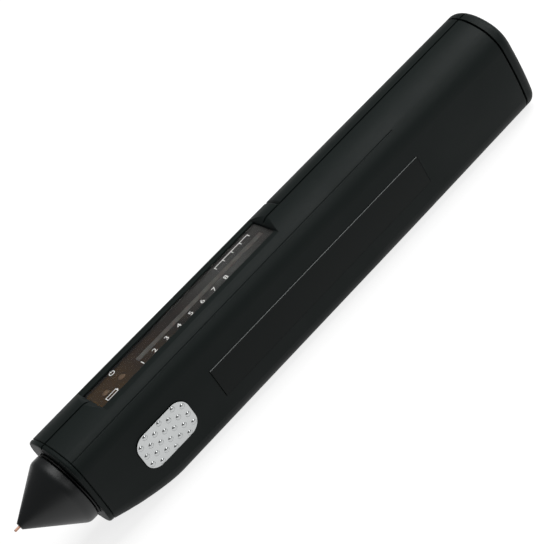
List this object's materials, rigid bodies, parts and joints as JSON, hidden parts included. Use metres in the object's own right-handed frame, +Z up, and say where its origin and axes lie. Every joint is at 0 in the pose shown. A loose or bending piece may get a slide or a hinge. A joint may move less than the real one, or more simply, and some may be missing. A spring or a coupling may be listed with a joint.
{
  "type": "handheld gem tester",
  "caption": "Pen-shaped gemstone tester: tapered black housing with a smoked display window, bumped metal finger plates and a sprung copper probe in a conical nose.",
  "frame": {"origin": "middle of the bounding box's bottom, on the flat keel that it rests on", "axes": "+X from the probe tip to the rear end, +Z up through the display, +Y towards the battery cover's side"},
  "size_m": [0.1526, 0.021, 0.027],
  "materials": {
    "shell_black": "satin",
    "cone_black": "satin",
    "collar_grey": "satin",
    "smoked_lens": "polished",
    "diffuser": "translucent",
    "mask_black": "matte",
    "lamp_resin": "translucent",
    "plate_steel": "satin",
    "label_black": "satin",
    "copper_tip": "polished copper",
    "brass_turned": "turned",
    "spring_steel": "bright",
    "bush_plastic": "satin",
    "heater_ceramic": "matte",
    "lead_insulation": "matte",
    "board_green": "solder mask",
    "chip_black": "matte",
    "connector_white": "satin",
    "capacitor_sleeve": "satin",
    "contact_nickel": "plated",
    "cell_jacket": "shrink sleeve over a can",
    "wire_insulation": "matte",
    "knob_black": "matte",
    "screw_steel": "black oxide"
  },
  "bodies": {
    "housing": {"left_shell": "shell_black", "right_shell": "shell_black", "display_window": "smoked_lens", "display_mask": "mask_black", "light_bar": "diffuser", "bar_leds": "lamp_resin", "status_leds": "lamp_resin", "circuit_board": "board_green", "controller_chip": "chip_black", "reservoir_capacitor": "capacitor_sleeve", "surface_resistors": "chip_black", "buzzer": "chip_black", "lead_connector": "connector_white", "nose_cone": "cone_black", "nose_collar": "collar_grey", "probe_spring": "spring_steel", "probe_bush": "bush_plastic", "probe_leads": "lead_insulation", "left_finger_plate": "plate_steel", "right_finger_plate": "plate_steel", "finger_plate_leads": "contact_nickel", "name_plate": "label_black", "upper_cell": "cell_jacket", "lower_cell": "cell_jacket", "cell_springs": "spring_steel", "front_contacts": "contact_nickel", "rear_contact": "contact_nickel", "battery_wires": "wire_insulation", "switch_case": "contact_nickel", "housing_screws": "screw_steel"},
    "probe": {"probe_tip": "copper_tip", "probe_holder": "brass_turned", "heater_core": "heater_ceramic"},
    "switch": {"switch_slider": "connector_white", "switch_knob": "knob_black"},
    "cover": {"battery_cover": "shell_black"}
  },
  "joints": [
    {"name": "probe_retract", "type": "slide", "parent": "housing", "child": "probe", "axis": [1, 0, 0], "range_m": [0, 0.00135], "stiffness_N_per_m": 600, "springref_m": -0.0008, "deforming": ["probe_spring", "probe_leads"]},
    {"name": "power_switch_slide", "type": "slide", "parent": "housing", "child": "switch", "axis": [-1, 0, 0], "range_m": [0, 0.003]},
    {"name": "battery_cover_slide", "type": "slide", "parent": "housing", "child": "cover", "axis": [1, 0, 0], "range_m": [0, 0.066]}
  ]
}
